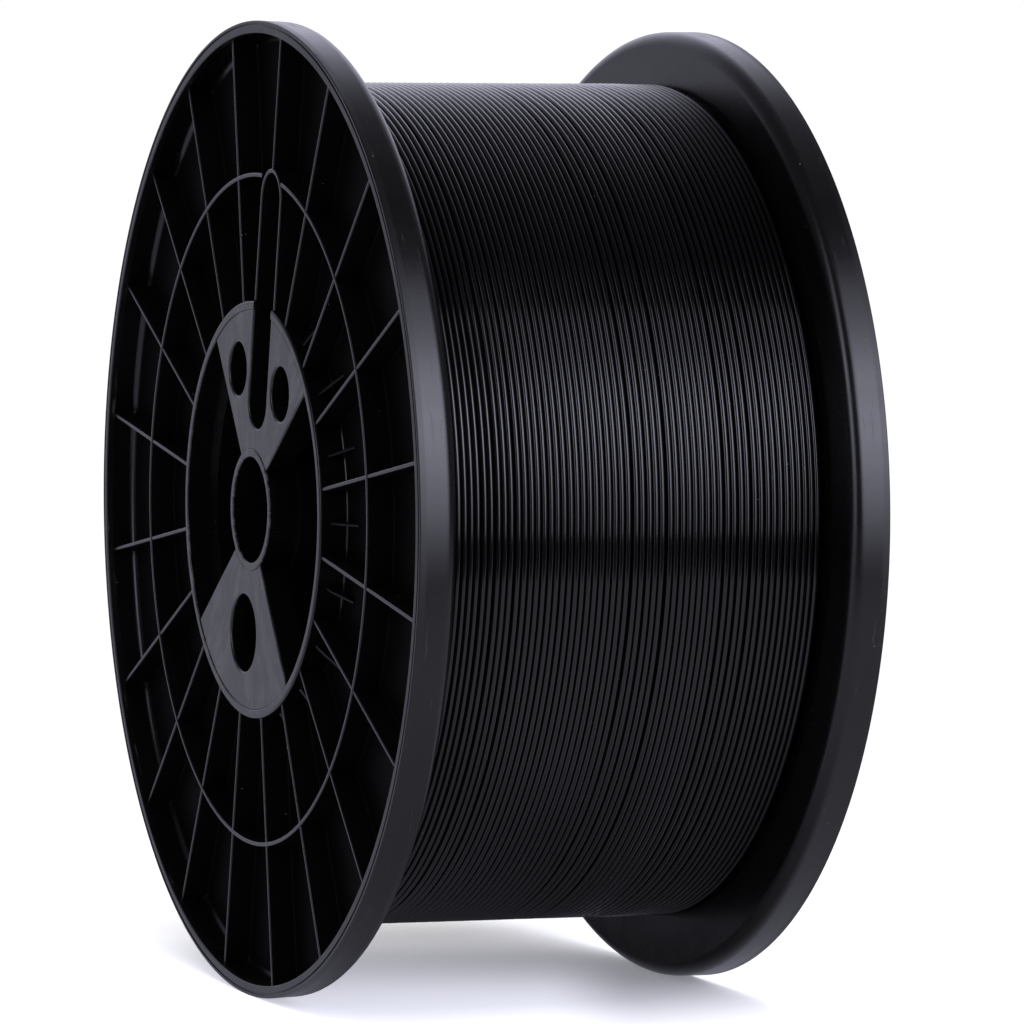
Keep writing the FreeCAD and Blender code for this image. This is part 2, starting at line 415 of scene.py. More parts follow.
def spool_places(tree):
    """Where a point is on the spool: its place, radius, depth below the outer face and polar place."""
    place = tree.node("ShaderNodeTexCoord", {}, {}, "Object")
    split = tree.node("ShaderNodeSeparateXYZ", {}, {0: place})
    x, y, z = split, split.part("Y"), split.part("Z")
    radius = tree.vector("LENGTH", tree.vector("MULTIPLY", place, (1, 0, 1)), output="Value")
    depth = spool_width / 2 - y.maths("ABSOLUTE", y)
    turn = x.maths("ARCTAN2", x, z)
    polar = tree.node("ShaderNodeCombineXYZ", {}, {"X": turn, "Y": radius, "Z": depth})
    return place, radius, depth, polar


def specks(tree, place, scale, size, share):
    """Small dust specks in a share of the cells of a pattern."""
    cells = tree.node("ShaderNodeTexVoronoi", {}, {"Vector": place, "Scale": scale})
    chosen = tree.node("ShaderNodeSeparateColor", {}, {0: cells.part("Color")})
    return tree.smooth(cells, size, 0.5 * size) * tree.smooth(chosen, 1 - share, 1.02 - share)


def scratches(tree, vector, stretch, scale, amount):
    """Fine hairlines, much longer one way than across."""
    drawn = tree.vector("MULTIPLY", vector, stretch)
    lines = tree.noise(drawn, scale, 3.0, 0.6)
    return tree.smooth(lines, 1 - amount, 1.06 - amount)


def flange_finish(name="satin_black_moulding", pockets=1.0):
    """Satin black moulded plastic: matt pockets, flow lines, a scuffed lip, hairlines and some dust."""
    finish, tree = new_finish(name)
    place, radius, depth, polar = spool_places(tree)
    clouds = tree.noise(place, 35, 4.0)
    mottle = tree.noise(place, 260, 3.0)
    grain = tree.noise(place, 2600, 2.0)
    face = tree.smooth(depth, 2.2 * mm, 1.6 * mm)
    outside_hub = tree.smooth(radius, hub_radius + 0.2 * mm, hub_radius + 0.7 * mm)
    inside_rim = tree.smooth(radius, rim_inner_radius - 1.0 * mm, rim_inner_radius - 2.2 * mm)
    sunk_in = tree.smooth(depth, 1.9 * mm, 2.6 * mm) * tree.smooth(depth, 10.9 * mm, 10.6 * mm)
    pocket = outside_hub * inside_rim * sunk_in * pockets
    lip = tree.smooth(radius, rim_inner_radius - 0.5 * mm, rim_inner_radius) * face
    band = tree.smooth(radius, flange_radius - 0.5 * mm, flange_radius - 0.2 * mm)
    flow = tree.noise(tree.vector("MULTIPLY", polar, (14.0, 160.0, 1.0)), 1.0, 3.0)
    swirl = tree.noise(tree.vector("MULTIPLY", polar, (7.0, 45.0, 1.0)), 1.0, 4.0, 0.65)
    rubs = scratches(tree, polar, (9.0, 5200.0, 900.0), 1.0, 0.36)
    hairs = scratches(tree, tree.vector("ADD", place, (0.3, 0.1, 0.2)), (2400.0, 160.0, 90.0), 1.0, 0.3)
    dust = specks(tree, place, 420, 0.09, 0.06)
    scuff = lip * rubs + band * rubs * 0.4
    panel = tree.smooth(depth, 1.5 * mm, 1.2 * mm) * tree.smooth(radius, hub_radius, hub_radius - 2 * mm)
    streaks = panel * tree.smooth(swirl, 0.42, 0.7) + 0.3 * panel * tree.smooth(flow, 0.45, 0.7)
    shade = tree.mix(clouds, grey(0.0006), grey(0.0013))
    shade = tree.mix(streaks, shade, grey(0.03))
    shade = tree.mix(scuff * 0.5, shade, grey(0.03))
    shade = tree.mix(dust * 0.8, shade, grey(0.10))
    rough = 0.27 + 0.10 * (clouds - 0.5) + 0.12 * (flow - 0.5) + (0.10 + 0.25 * panel) * (swirl - 0.5)
    rough = rough + lip * 0.08 + scuff * 0.25 + hairs * 0.05 + dust * 0.4
    relief = grain * 0.3 + mottle * 0.5 + flow * 0.3 + hairs * -0.1 + rubs * lip * -0.9 + dust * 1.2
    satin = plastic(tree, shade, rough, relief, 0.006 * mm)
    matt_rough = 0.6 + 0.10 * (clouds - 0.5) + 0.10 * (mottle - 0.5)
    matt = plastic(tree, shade, matt_rough, grain * 0.5 + dust, 0.006 * mm, 1.13)
    ended(tree, tree.node("ShaderNodeMixShader", {}, {0: pocket, 1: satin, 2: matt}))
    return finish


def hub_finish():
    """Black moulded plastic of the barrel and the centre tube, a little duller."""
    finish, tree = new_finish("black_hub_moulding")
    place, radius, depth, polar = spool_places(tree)
    clouds = tree.noise(place, 40, 4.0)
    grain = tree.noise(place, 1800, 3.0)
    draw = scratches(tree, place, (900.0, 14.0, 900.0), 1.0, 0.36)
    dust = specks(tree, place, 380, 0.08, 0.05)
    shade = tree.mix(clouds, grey(0.0005), grey(0.0010))
    shade = tree.mix(dust * 0.7, shade, grey(0.06))
    rough = 0.5 + 0.12 * (clouds - 0.5) + draw * 0.05 + dust * 0.3
    ended(tree, plastic(tree, shade, rough, grain * 0.5 + draw * -0.2 + dust, 0.006 * mm, 1.2))
    return finish


def filament_finish():
    """Glossy black extruded filament: fine drawn lines along the strand, rare specks and dull patches."""
    finish, tree = new_finish("glossy_black_filament")
    place, radius, depth, polar = spool_places(tree)
    patches = tree.noise(place, 60, 3.0)
    drawn = tree.noise(tree.vector("MULTIPLY", polar, (40.0, 2200.0, 2200.0)), 1.0, 3.0)
    grain = tree.noise(place, 1500, 2.0)
    dust = specks(tree, place, 300, 0.07, 0.05)
    shade = tree.mix(patches, grey(0.0004), grey(0.0009))
    shade = tree.mix(dust * 0.8, shade, grey(0.12))
    rough = 0.115 + 0.05 * (patches - 0.5) + 0.05 * (drawn - 0.5) + dust * 0.4
    ended(tree, plastic(tree, shade, rough, drawn * 0.8 + grain * 0.3 + dust * 2.0, 0.003 * mm))
    return finish


def edge_section(wall_depth, rounding):
    """A panel's edge: a rounded upper corner and a straight side down to wall_depth."""
    top = panel_face_depth
    corners = [(rounding + 3 * support, top, 0), (0, top, rounding), (0, wall_depth, 0)]
    return [tuple(p) for p in rounded(corners, closed=False)]


def make_rim():
    """The rim: a flush face with a fine groove, the outer band and the corner to the web's underside."""
    groove_end = groove_radius + groove_width
    corners = [
        (rim_inner_radius, 0, edge), (groove_radius, 0, groove_edge),
        (groove_radius, groove_depth, 0), (groove_end, groove_depth, 0), (groove_end, 0, groove_edge),
        (flange_radius, 0, rim_face_edge), (flange_radius - rim_draft, flange_thickness, rim_corner),
        (rim_inner_radius - rim_foot, flange_thickness, 0),
        (rim_inner_radius - rim_foot, web_depth, 0), (rim_inner_radius, web_depth, rim_foot),
    ]
    skin = Skin()
    skin.lathe(rounded(corners, steps=6))
    return skin.mesh("rim")


def make_web():
    """The flat web between the hub ring and the rim, open along the start slot."""
    outer = [Vector(p[:2]) for p in arc(rim_inner_radius - rim_foot, 0, 2 * math.pi, turn_steps)[:-1]]
    start = math.asin(slot_half / ledge_radius)
    inner = arc(ledge_radius, 2 * math.pi - start, start, turn_steps)
    inner += arc(slot_half, math.pi / 2, -math.pi / 2, 24, slot_outer_centre)
    sides = [(0, web_depth), (0, flange_thickness)]
    skin = Skin()
    skin.plate(outer, [[Vector(p[:2]) for p in inner]], sides, sides)
    return skin.mesh("web")


def wall_section(inner, outer, top):
    """A standing wall's outline between two radii or offsets: rounded top, flared foot."""
    base = web_depth + sunk
    return rounded([
        (inner, top, edge), (outer, top, edge), (outer, base, foot),
        (outer + toe, base, 0), (outer + toe, base + weld, 0),
        (inner - toe, base + weld, 0), (inner - toe, base, 0), (inner, base, foot),
    ])


def make_mid_ring():
    """The thin ring between hub and rim, interrupted by the start slot's walls."""
    skin = Skin()
    skin.lathe(wall_section(mid_ring_inner, mid_ring_outer, mid_ring_depth), slot_half + 0.5 * slot_wall)
    return skin.mesh("mid_ring")


def make_slot_walls():
    """The wall round the start slot outside the hub ring, closed by a half-round end."""
    start = hub_radius - 0.3 * mm
    path = [Vector((-slot_half, start)), Vector((-slot_half, start + mm))]
    path += [Vector(p[:2]) for p in arc(slot_half, -math.pi / 2, math.pi / 2, 32, slot_outer_centre)]
    path += [Vector((slot_half, start + mm)), Vector((slot_half, start))]
    base = web_depth + sunk
    section = rounded([
        (-sunk, rib_depth, edge), (slot_wall, rib_depth, edge), (slot_wall, base, foot),
        (slot_wall + toe, base, 0), (slot_wall + toe, base + weld, 0),
        (slot_wall, base + weld, 0), (slot_wall, flange_thickness + sunk, 0),
        (-sunk, flange_thickness + sunk, 0),
    ])
    skin = Skin()
    skin.sweep(path, section, closed=False)
    return skin.mesh("slot_walls")


def make_hub_ring():
    """The hub ring, open at the start slot, its ledge, and the spigot with its snap hooks."""
    ring = rounded([
        (hub_inner_radius, hub_face_depth, edge), (hub_radius, hub_face_depth, hub_ring_edge),
        (hub_radius, web_depth, hub_foot), (ledge_radius, web_depth, 0),
        (ledge_radius, flange_thickness, 0), (spigot_inner, flange_thickness, 0),
        (spigot_inner, web_depth, 0), (hub_inner_radius, web_depth, 0),
    ])
    sleeve = rounded([
        (spigot_inner, web_depth + mm, 0), (spigot_outer, web_depth + mm, 0),
        (spigot_outer, spigot_end, edge), (spigot_inner, spigot_end, edge),
    ])
    skin = Skin()
    skin.lathe(ring, slot_half)
    skin.lathe(sleeve[2:] + sleeve[:2], steps=144)
    for number in range(hook_count):
        skin_hook(skin, (number + 0.5) * 2 * math.pi / hook_count)
    return skin.mesh("hub_ring")


def skin_hook(skin, turn):
    """A wedge on the spigot that snaps into a window of the barrel."""
    root = spigot_outer - 0.5 * mm
    corners = rounded([
        (hook_start, root, 0), (hook_start, spigot_outer + hook_height, edge),
        (hook_end, spigot_outer, 0), (hook_end, root, 0),
    ])
    rows = []
    for across in (-hook_half_width, hook_half_width):
        turned = Matrix.Rotation(turn, 3, "Y")
        rows.append([turned @ Vector((across, depth, up)) for depth, up in corners])
    skin.rows(rows, along=False)
    for row in rows:
        skin.cap([row])


def panel_outline(slotted):
    """The outline of a hub panel, from the bore boss out to the hub ring, with rounded corners."""
    reach_in = boss_radius - weld
    reach_out = hub_inner_radius + weld
    inner_end = panel_half_angle - math.asin(panel_inset / reach_in)
    outer_end = panel_half_angle - math.asin(panel_inset / reach_out)
    outline = arc(reach_in, -inner_end, inner_end, 24)
    if slotted:
        notch = math.asin(slot_half / reach_out)
        outline += arc(reach_out, outer_end, notch, 24)
        outline += [(slot_half, slot_inner_centre + 2 * slot_half, 0)]
        outline += arc(slot_half, math.pi / 2, 3 * math.pi / 2, 24, slot_inner_centre)
        outline += [(-slot_half, slot_inner_centre + 2 * slot_half, 0)]
        outline += arc(reach_out, -notch, -outer_end, 24)
    else:
        outline += arc(reach_out, outer_end, -outer_end, 48)
    return [Vector(p[:2]) for p in outline]


def make_panel(hole_sizes, slotted):
    """One hub panel: a plate with its sides turned down and a collar under each hole."""
    under = panel_face_depth + panel_thickness
    outer_section = edge_section(web_depth, panel_edge) + [(skirt, web_depth), (skirt, under)]
    hole_section = edge_section(collar_depth, hole_edge)
    hole_section += [(collar_wall, collar_depth), (collar_wall, under)]
    holes = []
    for radius, distance, turn in hole_sizes:
        centre = Vector((distance * math.sin(turn), distance * math.cos(turn)))
        holes.append([centre + Vector(p[:2]) for p in arc(radius, 0, 2 * math.pi, 64)[:-1]])
    skin = Skin()
    skin.plate(panel_outline(slotted), holes, outer_section, hole_section)
    return skin.mesh("panel")


def make_bore_boss():
    """The short tube round the bore."""
    skin = Skin()
    skin.lathe(rounded([
        (bore_radius, hub_face_depth, edge), (boss_radius, hub_face_depth, edge),
        (boss_radius, boss_end, edge), (bore_radius, boss_end, edge),
    ]), steps=144)
    return skin.mesh("bore_boss")


def rib_skin(start, end):
    """One rib along the slot line between two radii."""
    half = rib_thickness / 2
    section = wall_section(-half, half, rib_depth)
    skin = Skin()
    rows = [[Vector((across, depth, up)) for across, depth in section] for up in (start, end)]
    skin.rows(rows, along=False)
    for row in rows:
        skin.cap([row])
    return skin


def gusset_skin():
    """One gusset against the hub ring: a low wall whose top slopes down to the web."""
    half = gusset_thickness / 2
    skin = Skin()
    rows = []
    for up, top in ((hub_radius - weld, gusset_height), (hub_radius + gusset_length, gusset_tip)):
        section = rounded([
            (-half, web_depth - top, 0.9 * edge), (half, web_depth - top, 0.9 * edge),
            (half, web_depth + weld, 0), (-half, web_depth + weld, 0),
        ])
        rows.append([Vector((across, depth, up)) for across, depth in section])
    skin.rows(rows, along=False)
    for row in rows:
        skin.cap([row])
    return skin


def add_inputs(nodes, sockets):
    """Gives a geometry tree its inputs and its one output, and returns the modifier's identifiers."""
    made = {}
    for name, kind in sockets:
        made[name] = nodes.interface.new_socket(name, in_out="INPUT", socket_type=kind).identifier
    nodes.interface.new_socket("Geometry", in_out="OUTPUT", socket_type="NodeSocketGeometry")
    return made


def repeat_tree():
    """Copies a wall round the axis: Count copies, Spacing apart, the first at First Turn."""
    nodes = bpy.data.node_groups.new("walls_round_the_axis", "GeometryNodeTree")
    names = add_inputs(nodes, [
        ("Wall", "NodeSocketGeometry"), ("Count", "NodeSocketInt"), ("Spacing", "NodeSocketFloat"),
        ("First Turn", "NodeSocketFloat"), ("Finish", "NodeSocketMaterial"),
    ])
    tree = Tree(nodes)
    given = tree.node("NodeGroupInput")
    points = tree.node("GeometryNodePoints", {}, {"Count": given.part("Count")})
    turn = tree.node("GeometryNodeInputIndex") * given.part("Spacing") + given.part("First Turn")
    about = tree.node("FunctionNodeAxisAngleToRotation", {}, {"Axis": (0, 1, 0), "Angle": turn})
    inputs = {"Points": points, "Instance": given.part("Wall"), "Rotation": about}
    copies = tree.node("GeometryNodeInstanceOnPoints", {}, inputs)
    real = tree.node("GeometryNodeRealizeInstances", {}, {0: copies})
    inputs = {"Geometry": real, "Material": given.part("Finish")}
    finished = tree.node("GeometryNodeSetMaterial", {}, inputs)
    tree.node("NodeGroupOutput", {}, {"Geometry": finished})
    return nodes, names


def loose_places(turns, seed=5):
    """Where there is room between turns: (turn, gap) pairs, small ones anywhere, wide ones in zones."""
    chance = random.Random(seed)
    places = []
    for turn in range(2, turns - 2):
        if chance.random() < small_gap_share:
            places.append((turn + 0.5, chance.uniform(0.3, 1.0) * small_gap))
    for middle, count, size in loose_zones:
        for number in range(count):
            spread = (number - count / 2) * 2 + chance.uniform(-0.8, 0.8)
            turn = round(middle * turns + spread) + 0.5
            places.append((turn, small_gap + size * chance.uniform(0.3, 0.8)))
    return places


def winding_tree(places, seed=11):
    """Lays one strand turn beside turn. Groups of turns are parted by gaps, and wide gaps wander."""
    nodes = bpy.data.node_groups.new("level_wound_strand", "GeometryNodeTree")
    names = add_inputs(nodes, [
        ("Start", "NodeSocketGeometry"), ("Turns", "NodeSocketFloat"),
        ("Steps per Turn", "NodeSocketInt"), ("Coil Radius", "NodeSocketFloat"),
        ("Taper", "NodeSocketFloat"), ("Lift", "NodeSocketFloat"),
        ("First Side", "NodeSocketFloat"), ("Pitch", "NodeSocketFloat"),
        ("Loose Gap", "NodeSocketFloat"), ("Wander", "NodeSocketFloat"),
        ("Strand Radius", "NodeSocketFloat"), ("Strand Sides", "NodeSocketInt"),
        ("Finish", "NodeSocketMaterial"),
    ])
    tree = Tree(nodes)
    given = tree.node("NodeGroupInput")
    steps = given.part("Steps per Turn")
    count = given.part("Turns") * steps + 1.0
    line = tree.node("GeometryNodeMeshLine", {}, {"Count": count, "Offset": (0, 0, mm)})
    curve = tree.node("GeometryNodeMeshToCurve", {}, {"Mesh": line})
    turns = tree.node("GeometryNodeInputIndex") / steps
    angle = turns * (2 * math.pi)
    across = angle.maths("SINE", angle)
    up = angle.maths("COSINE", angle)
    gaps = turns * 0.0
    groups = turns * 0.0
    for turn, gap in places:
        passed = tree.smooth(turns, turn - 0.07, turn + 0.07)
        gaps = gaps + passed * gap
        if gap > small_gap:
            groups = groups + passed
    ring_place = tree.node("ShaderNodeCombineXYZ", {}, {"X": across, "Y": up, "Z": float(seed)})
    drift = tree.node(
        "ShaderNodeTexNoise", {"noise_dimensions": "4D"},
        {"Vector": ring_place, "W": groups * 7.3, "Scale": 0.8, "Detail": 1.0})
    shake = tree.node(
        "ShaderNodeTexNoise", {"noise_dimensions": "4D"},
        {"Vector": ring_place, "W": turns * 1.7 + 50.0, "Scale": 1.6, "Detail": 1.0})
    along = given.part("First Side") + turns * given.part("Pitch") + gaps * given.part("Loose Gap")
    along = along + (drift - 0.5) * given.part("Wander") + (shake - 0.5) * given.part("Wander") * 0.12
    radius = given.part("Coil Radius") + along * given.part("Taper")
    radius = radius - shake * given.part("Strand Radius") * 0.12
    height = up * radius + given.part("Lift")
    place = tree.node("ShaderNodeCombineXYZ", {}, {"X": across * radius, "Y": along, "Z": height})
    laid = tree.node("GeometryNodeSetPosition", {}, {"Geometry": curve, "Position": place})
    inputs = {"Resolution": given.part("Strand Sides"), "Radius": given.part("Strand Radius")}
    section = tree.node("GeometryNodeCurvePrimitiveCircle", {}, inputs)
    inputs = {"Curve": laid, "Profile Curve": section, "Fill Caps": True}
    strand = tree.node("GeometryNodeCurveToMesh", {}, inputs)
    smooth = tree.node("GeometryNodeSetShadeSmooth", {}, {"Geometry": strand})
    real = tree.node("GeometryNodeRealizeInstances", {}, {0: smooth})
    inputs = {"Geometry": real, "Material": given.part("Finish")}
    finished = tree.node("GeometryNodeSetMaterial", {}, inputs)
    tree.node("NodeGroupOutput", {}, {"Geometry": finished})
    return nodes, names


def grown(name, start_mesh, tree_and_names, values):
    """Runs a geometry tree on a mesh and returns the result as a plain mesh."""
    nodes, names = tree_and_names
    carrier = bpy.data.objects.new(name, start_mesh)
    bpy.context.scene.collection.objects.link(carrier)
    modifier = carrier.modifiers.new("layout", "NODES")
    modifier.node_group = nodes
    for key, value in values.items():
        modifier[names[key]] = value
    seen = carrier.evaluated_get(bpy.context.evaluated_depsgraph_get())
    made = bpy.data.meshes.new_from_object(seen)
    carrier.modifiers.remove(modifier)
    bpy.data.objects.remove(carrier)
    return made


def add_piece(name, made, finish, slot, *nodes):
    """Puts a finished mesh in the scene as a piece that stands for its CAD nodes."""
    made.materials.clear()
    made.materials.append(finish)
    piece = bpy.data.objects.new(name, made)
    bpy.context.scene.collection.objects.link(piece)
    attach(piece, "root")
    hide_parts(*nodes)
    return piece


def place_on_side(made, side):
    """A copy of a flange mesh, moved to the left or the right of the spool."""
    placed = made.copy()
    move = Matrix.Rotation(slot_turn, 4, "Y")
    if side == "right":
        move = move @ Matrix.Rotation(math.pi, 4, "Z")
    placed.transform(move @ Matrix.Translation((0, -spool_width / 2, 0)))
    return placed


def make_flanges(finish, thin_finish):
    """Every wall and plate of the two flanges."""
    half_turn = Matrix.Rotation(math.pi, 4, "Y")
    radius, distance, turn = small_hole
    slotted = make_panel([(radius, distance, -turn), small_hole], True)
    plain = make_panel([large_hole], False)
    plain.transform(half_turn)
    repeat = repeat_tree()
    outer_end = rim_inner_radius + weld
    inner_rib = rib_skin(hub_radius - weld, mid_ring_inner + weld).mesh("rib")
    inner_ribs = grown("inner_ribs", inner_rib, repeat, {
        "Count": rib_count - 1, "Spacing": rib_spacing, "First Turn": rib_spacing, "Finish": finish})
    outer_rib = rib_skin(mid_ring_outer - weld, outer_end).mesh("rib")
    outer_ribs = grown("outer_ribs", outer_rib, repeat, {
        "Count": rib_count - 1, "Spacing": rib_spacing, "First Turn": rib_spacing, "Finish": finish})
    arch_end = slot_outer_centre + slot_half + slot_wall
    arch_rib = rib_skin(arch_end - weld, outer_end).mesh("rib")
    gussets = grown("gussets", gusset_skin().mesh("gusset"), repeat, {
        "Count": rib_count - 2, "Spacing": rib_spacing, "First Turn": 1.5 * rib_spacing,
        "Finish": thin_finish})
    parts = {
        "rim": make_rim(),
        "web": make_web(),
        "mid_ring": make_mid_ring(),
        "slot_walls": make_slot_walls(),
        "hub_ring": make_hub_ring(),
        "ribs": joined("ribs", [inner_ribs, outer_ribs, arch_rib]),
        "gussets": gussets,
        "slotted_hub_panel": slotted,
        "plain_hub_panel": plain,
        "bore_boss": make_bore_boss(),
    }
    for side in ("left", "right"):
        for name, made in parts.items():
            node = f"{side}_{name}"
            used = thin_finish if name == "gussets" else finish
            add_piece(f"{side}_flange_{name}", place_on_side(made, side), used, "flange_plastic", node)


def joined(name, meshes):
    """Several meshes as one."""
    work = bmesh.new()
    for part in meshes:
        work.from_mesh(part)
    made = bpy.data.meshes.new(name)
    work.to_mesh(made)
    work.free()
    return made


def make_hub_tubes(finish):
    """The barrel and the centre tube keep their CAD shapes, with a moulded finish."""
    for name in ("barrel", "centre_tube"):
        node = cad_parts[name]
        node.data.materials.clear()
        node.data.materials.append(finish)


def make_winding(finish):
    """The outer layer of filament as one strand, and the layers under it."""
    length = 2 * (winding_half_length + weld) - 2 * strand_radius
    turns = math.floor((length - loose_room) / tight_pitch)
    places = loose_places(turns)
    loose_gap = (length - turns * tight_pitch) / sum(gap for turn, gap in places)
    middle_radius = winding_end_radius - winding_taper * winding_half_length
    seed_mesh = bpy.data.meshes.new("strand_start")
    values = {
        "Turns": float(turns), "Steps per Turn": strand_steps,
        "Coil Radius": middle_radius - strand_radius, "Taper": winding_taper, "Lift": winding_lift,
        "First Side": -length / 2, "Pitch": tight_pitch, "Loose Gap": loose_gap, "Wander": wander,
        "Strand Radius": strand_radius, "Strand Sides": strand_sides, "Finish": finish,
    }
    strand = grown("strand", seed_mesh, winding_tree(places), values)
    add_piece("filament_outer_turns", strand, finish, "filament", "filament_outer_layer")
    under = make_inner_layers(middle_radius - 2 * strand_radius)
    add_piece("filament_wound_layers", under, finish, "filament", "filament_inner_layers")
    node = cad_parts["filament_first_end"]
    node.data.materials.clear()
    node.data.materials.append(finish)


def make_inner_layers(outer):
    """The layers under the outer one: rows of turns round the outside and layer edges at the sides."""
    inner = hub_radius + 0.3 * mm
    half = winding_half_length
    profile = []
    layers = round((outer - inner) / (2 * strand_radius))
    layer = (outer - inner) / layers
    turns = round(half / (1.03 * strand_radius))
    pitch = 2 * half / turns
    for number in range(layers):
        for along, height in layer_ridge:
            radius = inner + (number + along) * layer
            profile.append((radius, -half + ridge_height * (1 - height)))
    for number in range(turns):
        for along, height in layer_ridge:
            depth = -half + (number + along) * pitch
            profile.append((outer - ridge_height * (1 - height), depth))
    for number in reversed(range(layers)):
        for along, height in reversed(layer_ridge):
            radius = inner + (number + 1 - along) * layer
            profile.append((radius, half - ridge_height * (1 - height)))
    skin = Skin()
    skin.lathe(profile, steps=128)
    for point in skin.points:
        flat = math.hypot(point.x, point.z)
        share = (flat - inner) / (outer - inner)
        grown_by = 1 + share * winding_taper * point.y / flat
        point.x *= grown_by
        point.z = point.z * grown_by + share * winding_lift
    return skin.mesh("wound_layers")


def add_panel_light(name, azimuth, half_width, strength):
    """A tall upright soft panel that faces the spool, brightest a little above the spool's height."""
    turn = math.radians(azimuth)
    away = Vector((math.sin(turn), -math.cos(turn), 0))
    side = Vector((math.cos(turn), math.sin(turn), 0))
    reach = panel_distance * math.tan(math.radians(half_width))
    middle = away * panel_distance
    made = bpy.data.meshes.new(name)
    corners = []
    for sign, up in ((-1, panel_foot), (-1, panel_top), (1, panel_top), (1, panel_foot)):
        corners.append(middle + side * sign * reach + Vector((0, 0, up)))
    made.from_pydata(corners, [], [(0, 1, 2, 3)])
    glow, tree = new_finish(name + "_glow")
    place = tree.node("ShaderNodeTexCoord", {}, {}, "Object")
    height = tree.node("ShaderNodeSeparateXYZ", {}, {0: place}).part("Z")
    across = tree.vector("DOT_PRODUCT", place, tuple(side), output="Value")
    across = across.maths("ABSOLUTE", across)
    rise = tree.smooth(height, dim_below, hot_height, 0.2, 1.0)
    fall = tree.smooth(height, hot_height, cool_above, 1.0, 0.32)
    ends = tree.smooth(across, 0.4 * reach, reach, 1.0, 0.45)
    inputs = {"Color": grey(1.0, light_tint), "Strength": rise * fall * ends * strength}
    ended(tree, tree.node("ShaderNodeEmission", {}, inputs))
    made.materials.append(glow)
    panel = bpy.data.objects.new(name, made)
    bpy.context.scene.collection.objects.link(panel)
    panel.visible_camera = False


def add_ground(name, reach, far, drop):
    """A flat sheet a drop below the spool's foot, from far behind it to a reach in front."""
    made = bpy.data.meshes.new(name)
    corners = [(-far, -far, 0), (reach, -far, 0), (reach, far, 0), (-far, far, 0)]
    made.from_pydata(corners, [], [(0, 1, 2, 3)])
    made.transform(Matrix.Translation((0, 0, floor_height - drop)))
    plane = bpy.data.objects.new(name, made)
    bpy.context.scene.collection.objects.link(plane)
    return plane


def make_floor():
    """A plain pale floor that brightens into the white background, with a painted glow near the spool that
    lightens and shapes its shadow, and a table top for reflections that glows with a painted shadow under
    the spool.
    """
    floor = add_ground("floor", 14.0, 14.0, 0.0)
    floor.visible_glossy = False
    paint, tree = new_finish("floor_paint_and_painted_light")
    place = tree.node("ShaderNodeTexCoord", {}, {}, "Object")
    distance = tree.vector("LENGTH", tree.vector("MULTIPLY", place, (1, 1, 0)), output="Value")
    faint = tree.noise(place, 30, 3.0)
    shade = tree.mix(faint, grey(0.84), grey(0.88))
    matt = tree.node("ShaderNodeBsdfDiffuse", {}, {"Color": shade})
    ahead = tree.vector("DOT_PRODUCT", place, towards_camera, output="Value")
    aside = tree.vector("DOT_PRODUCT", place, beside_camera, output="Value")
    # Painted light: an emission, stronger in front of the spool and fading out behind it, lightens the
    # spool's shadow on the floor and sets its shape.
    painted_light_fill = 0.33 * tree.smooth(ahead, -0.07, 0.03) * tree.smooth(aside, 0.05, 0.02)
    painted_light_fill = painted_light_fill + 0.2 * tree.smooth(ahead, -0.14, -0.07)
    painted_light_glow = tree.node("ShaderNodeEmission", {}, {"Color": grey(1.0, painted_light_tint), "Strength": painted_light_fill})
    floor_and_painted_light = tree.node("ShaderNodeAddShader", {}, {0: matt, 1: painted_light_glow})
    white = tree.node("ShaderNodeEmission", {}, {"Color": grey(1.0), "Strength": white_level})
    far = tree.smooth(distance, 0.25, 0.6)
    ended(tree, tree.node("ShaderNodeMixShader", {}, {0: far, 1: floor_and_painted_light, 2: white}))
    floor.data.materials.append(paint)
    # The table top glows in place of a lit table and is seen only in reflections; its glow holds a painted
    # shadow under the spool.
    table = add_ground("table_top", 0.5, 2.5, 0.5 * mm)
    table.visible_camera = False
    table.visible_diffuse = False
    paint, tree = new_finish("table_top_painted_glow")
    place = tree.node("ShaderNodeTexCoord", {}, {}, "Object")
    ahead = tree.vector("DOT_PRODUCT", place, towards_camera, output="Value")
    faint = tree.noise(place, 30, 3.0)
    beside = tree.node("ShaderNodeSeparateXYZ", {}, {0: place}).part("Y")
    beside = beside.maths("ABSOLUTE", beside)
    # Painted shadow: the table top's glow is dimmed under the spool.
    painted_spool_shadow = tree.smooth(ahead, 0.22, -0.02) * tree.smooth(ahead, -0.35, -0.15)
    painted_spool_shadow = painted_spool_shadow * tree.smooth(beside, 0.08, 0.045)
    strength = tree.smooth(ahead, -0.3, 0.3, 0.5, 0.56) * (0.95 + 0.1 * faint) * (1 - 0.91 * painted_spool_shadow)
    inputs = {"Color": grey(1.0, light_tint), "Strength": strength}
    ended(tree, tree.node("ShaderNodeEmission", {}, inputs))
    table.data.materials.append(paint)


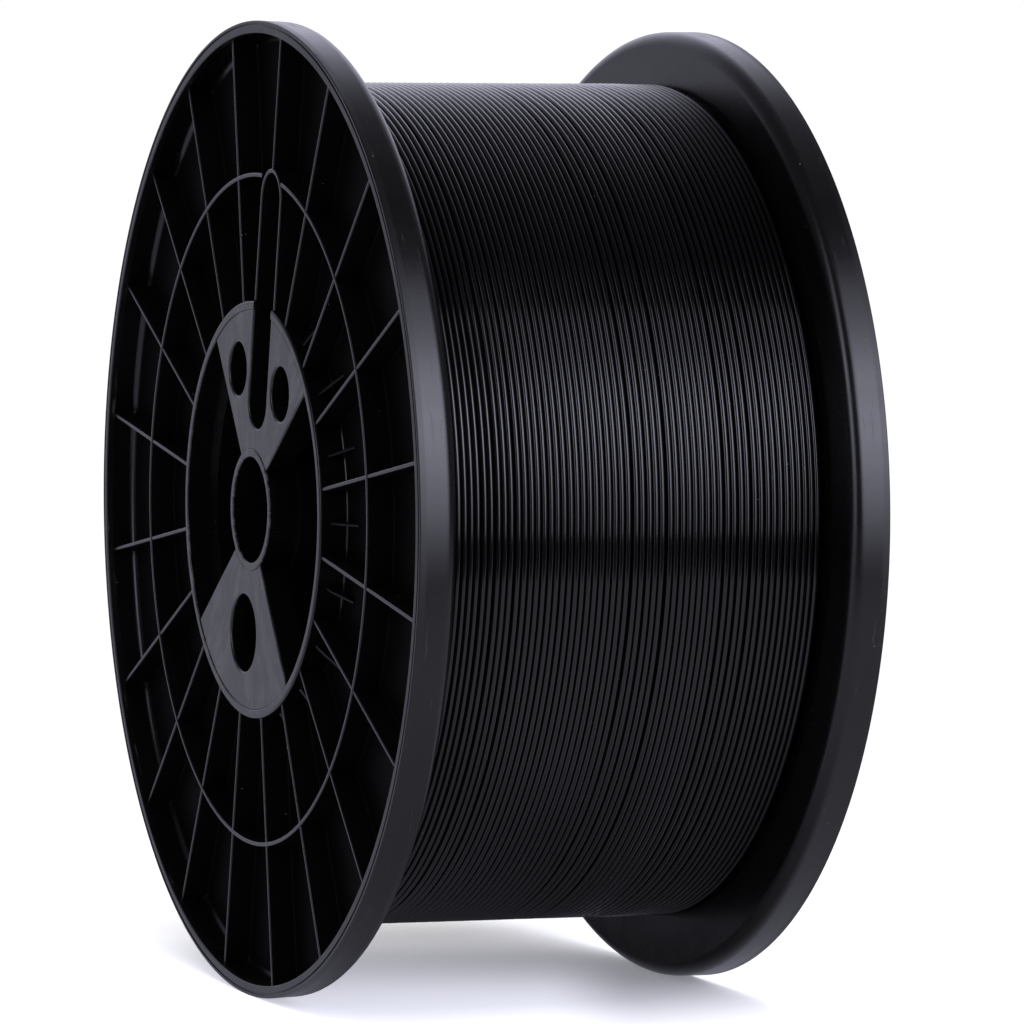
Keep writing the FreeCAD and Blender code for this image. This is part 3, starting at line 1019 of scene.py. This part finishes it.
def make_world():
    """White behind everything; a room to reflect that is dark in front and bright high at the back."""
    world = bpy.data.worlds.new("studio")
    bpy.context.scene.world = world
    world.use_nodes = True
    world.node_tree.nodes.clear()
    tree = Tree(world.node_tree)
    seen = tree.node("ShaderNodeLightPath")
    way = tree.node("ShaderNodeTexCoord", {}, {}, "Generated")
    ahead = tree.vector("DOT_PRODUCT", way, towards_camera, output="Value")
    height = tree.node("ShaderNodeSeparateXYZ", {}, {0: way}).part("Z")
    behind = tree.smooth(ahead, -0.4, -1.0)
    glow = 0.06 + 0.12 * tree.smooth(ahead, 0.1, -0.4)
    glow = glow + behind * (0.5 + 1.0 * tree.smooth(height, 0.0, 0.6))
    room = tree.node("ShaderNodeBackground", {}, {"Color": grey(1.0, light_tint), "Strength": glow})
    white = tree.node("ShaderNodeBackground", {}, {"Color": grey(1.0), "Strength": white_level})
    plain = seen.maths("MAXIMUM", seen, seen.part("Is Diffuse Ray"))
    surface = tree.node("ShaderNodeMixShader", {}, {0: plain, 1: room, 2: white})
    tree.node("ShaderNodeOutputWorld", {}, {"Surface": surface})


def make_lights():
    """Two tall soft panels either side of the camera and a broad one overhead."""
    add_panel_light("right_front_panel", azimuth=camera_azimuth + 43, half_width=26, strength=5.4)
    add_panel_light("left_front_panel", azimuth=camera_azimuth - 38, half_width=14, strength=3.3)
    lamp = bpy.data.lights.new("overhead", "AREA")
    lamp.shape = "RECTANGLE"
    lamp.size = lamp_size
    lamp.size_y = lamp_size
    lamp.energy = lamp_power
    above = bpy.data.objects.new("overhead", lamp)
    above.location = lamp_place
    above.visible_glossy = False
    bpy.context.scene.collection.objects.link(above)


# The camera stands a little above the axis and sees the outer face of the left flange at a slant.
camera_azimuth = 68.576
camera_elevation = 2.298
camera_distance = 1.37215
camera_lens = 167.76
camera_aim_right = 12.75 * mm
camera_aim_up = -1.473 * mm
camera_roll = 0.00256


def make_camera():
    turn, rise = math.radians(camera_azimuth), math.radians(camera_elevation)
    back = Vector((math.sin(turn) * math.cos(rise), -math.cos(turn) * math.cos(rise), math.sin(rise)))
    place = back * camera_distance
    right = Vector((math.cos(turn), math.sin(turn), 0))
    aim = right * camera_aim_right + right.cross(-back) * camera_aim_up
    forward = (aim - place).normalized()
    level = forward.cross(Vector((0, 0, 1))).normalized()
    upright = level.cross(forward)
    across = level * math.cos(camera_roll) + upright * math.sin(camera_roll)
    rising = upright * math.cos(camera_roll) - level * math.sin(camera_roll)
    data = bpy.data.cameras.new("camera")
    data.sensor_width = 36
    data.lens = camera_lens
    data.clip_start = 0.05
    data.clip_end = 50
    camera = bpy.data.objects.new("camera", data)
    axes = Matrix((across, rising, -forward)).transposed().to_4x4()
    camera.matrix_world = Matrix.Translation(place) @ axes
    bpy.context.scene.collection.objects.link(camera)
    bpy.context.scene.camera = camera


make_flanges(flange_finish(), flange_finish("satin_black_gussets", 0.35))
make_hub_tubes(hub_finish())
make_winding(filament_finish())
make_floor()
make_world()
make_lights()
make_camera()
bpy.context.scene.view_settings.view_transform = "Standard"
